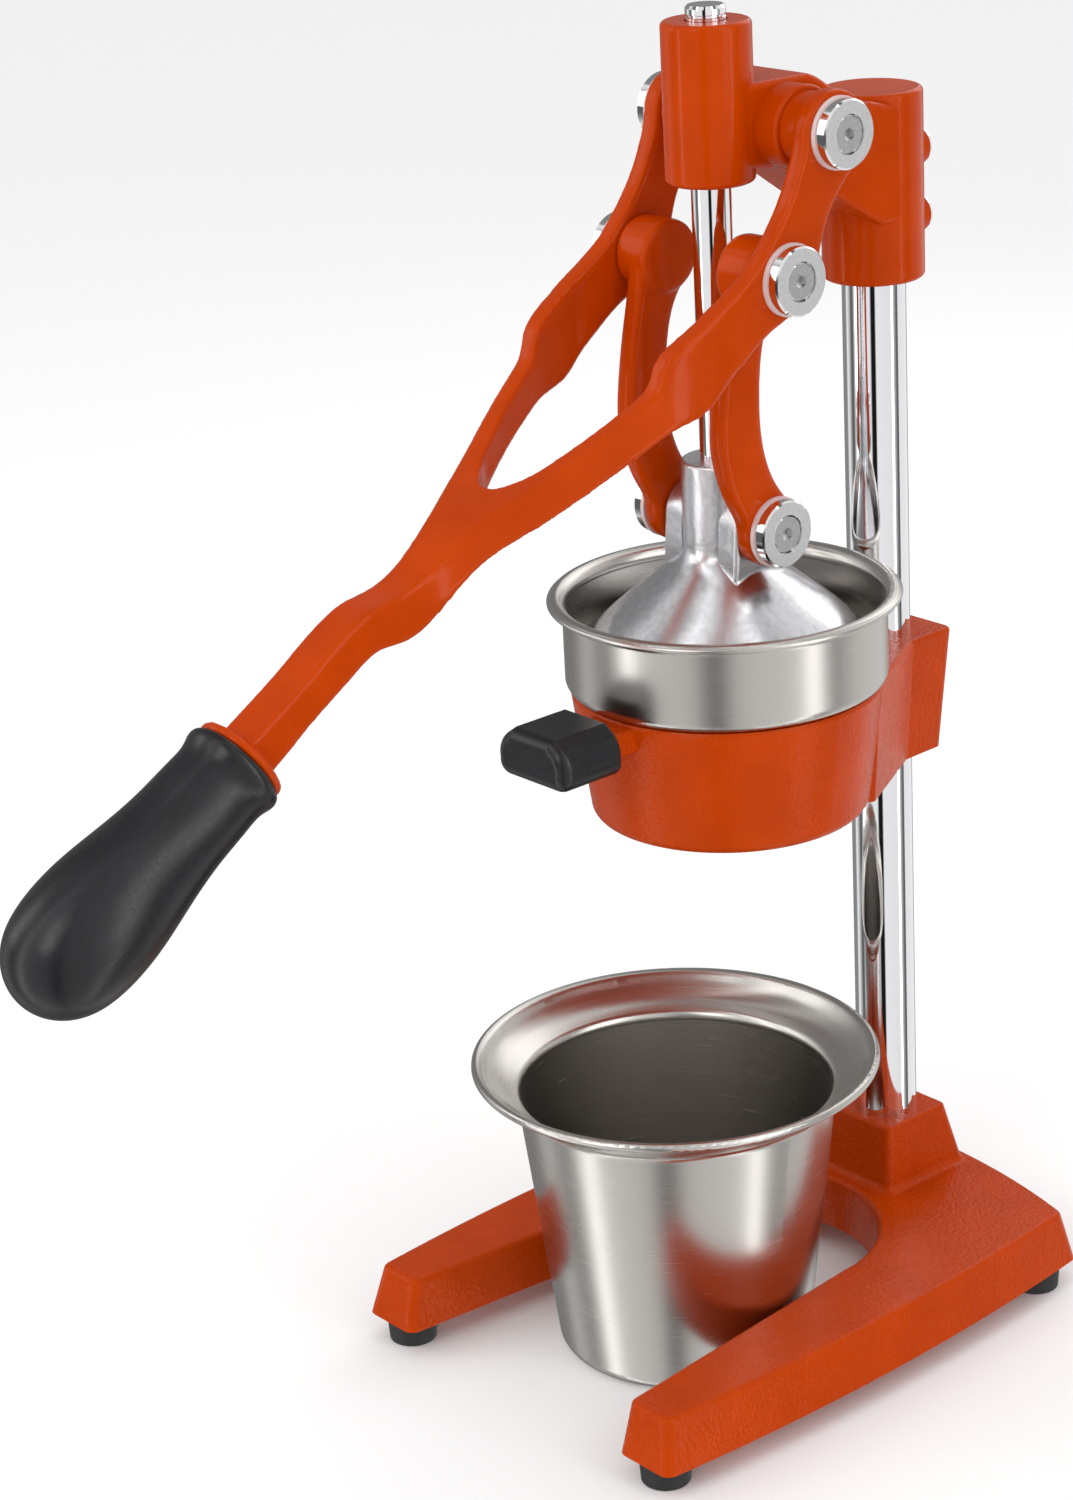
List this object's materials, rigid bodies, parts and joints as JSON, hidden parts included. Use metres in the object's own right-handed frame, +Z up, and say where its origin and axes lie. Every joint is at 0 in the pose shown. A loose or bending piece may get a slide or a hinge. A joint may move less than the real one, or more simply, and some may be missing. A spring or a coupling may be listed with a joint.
{
  "type": "citrus press juicer",
  "caption": "Lever-operated citrus press: fork lever and two links drive a guided rod and press cone down into a strainer bowl held on a pillar above a juice cup.",
  "frame": {"origin": "on the surface it stands on, under the middle of the whole press at rest", "axes": "+Z up along the pillar, -Y towards the user and the hand grip, X across the lever's pivots"},
  "size_m": [0.1792, 0.4198, 0.4975],
  "materials": {
    "orange_paint": "satin powder coat",
    "foot_rubber": "matt",
    "chrome_plate": "polished",
    "zinc_steel": "plated",
    "bronze": "machined",
    "nylon": "natural",
    "black_grip": "satin",
    "satin_steel": "satin",
    "cast_aluminium": "as cast and polished"
  },
  "bodies": {
    "stand": {"base_casting": "orange_paint", "foot_front_right": "foot_rubber", "foot_front_left": "foot_rubber", "foot_rear_right": "foot_rubber", "foot_rear_left": "foot_rubber", "foot_screws": "zinc_steel", "pillar_tube": "chrome_plate", "pillar_plug": "zinc_steel", "pillar_washer": "zinc_steel", "pillar_bolt": "zinc_steel", "head_casting": "orange_paint", "head_bolts": "chrome_plate", "guide_bush_lower": "bronze", "guide_bush_upper": "bronze", "upper_shaft": "zinc_steel", "upper_spacers": "nylon", "upper_washers": "chrome_plate", "upper_screws": "chrome_plate", "strainer_bowl": "satin_steel", "bowl_holder": "orange_paint", "holder_clamp_screw": "zinc_steel", "holder_grip": "black_grip"},
    "lever": {"lever_fork": "orange_paint", "arm_bushes": "bronze", "hand_grip": "black_grip", "knee_pins": "zinc_steel", "knee_spacers": "nylon", "knee_washers": "chrome_plate", "knee_screws": "chrome_plate"},
    "links": {"link_right": "orange_paint", "link_left": "orange_paint", "cone_pins": "zinc_steel", "cone_spacers": "nylon", "cone_washers": "chrome_plate", "cone_screws": "chrome_plate"},
    "press": {"guide_rod": "chrome_plate", "press_cone": "cast_aluminium", "cone_lock_screw": "zinc_steel"},
    "cup": {"juice_cup": "satin_steel"}
  },
  "joints": [
    {"name": "lever_hinge", "type": "hinge", "parent": "stand", "child": "lever", "pos_m": [0, 0.12097, 0.455], "axis": [-1, 0, 0], "range_deg": [0, 115]},
    {"name": "link_hinge", "type": "hinge", "parent": "lever", "child": "links", "pos_m": [0, 0.09667, 0.4091], "axis": [-1, 0, 0], "range_deg": [-119.5, 0]},
    {"name": "press_slide", "type": "slide", "parent": "stand", "child": "press", "axis": [0, 0, 1], "range_m": [0, 0.0879]},
    {"name": "cup_slide", "type": "slide", "parent": "stand", "child": "cup", "axis": [0, -1, 0], "range_m": [0, 0.2]}
  ],
  "couplings": [
    {"joint": "link_hinge", "follows": "lever_hinge", "ratio": -1.0379},
    {"joint": "press_slide", "follows": "lever_hinge", "m_per_rad": 0.04377}
  ]
}
